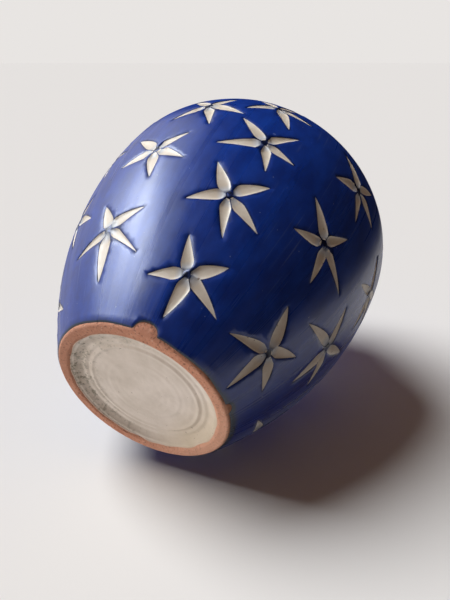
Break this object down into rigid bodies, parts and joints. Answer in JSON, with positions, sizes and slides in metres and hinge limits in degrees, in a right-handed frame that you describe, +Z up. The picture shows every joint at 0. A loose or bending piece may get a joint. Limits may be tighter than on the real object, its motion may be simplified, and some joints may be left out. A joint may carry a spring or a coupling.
{
  "type": "jug",
  "caption": "Round-bellied ceramic jug with a short neck, pouring lip and strap handle, blue glazed and carved with cream stars, on a bare foot ring.",
  "frame": {"origin": "centre of the foot ring's resting face, on the jug's axis", "axes": "+Z up along the axis towards the rim, +X towards the handle, -X towards the pouring lip"},
  "size_m": [0.194, 0.164, 0.1997],
  "materials": {
    "terracotta": "unglazed, matt",
    "blue_glaze": "satin",
    "cream_glaze": "satin"
  },
  "bodies": {
    "root": {"foot_ring": "terracotta", "floor_disc": "terracotta", "body_wall": "terracotta", "neck_collar": "terracotta", "pouring_lip": "terracotta", "handle_strap": "terracotta", "handle_top_joint": "terracotta", "handle_root_joint": "terracotta", "body_glaze": "blue_glaze", "neck_glaze": "blue_glaze", "lip_glaze": "blue_glaze", "handle_glaze": "blue_glaze", "liner_glaze": "cream_glaze", "base_glaze": "cream_glaze", "stars_low": "cream_glaze", "stars_middle": "cream_glaze", "stars_high": "cream_glaze"}
  },
  "joints": []
}
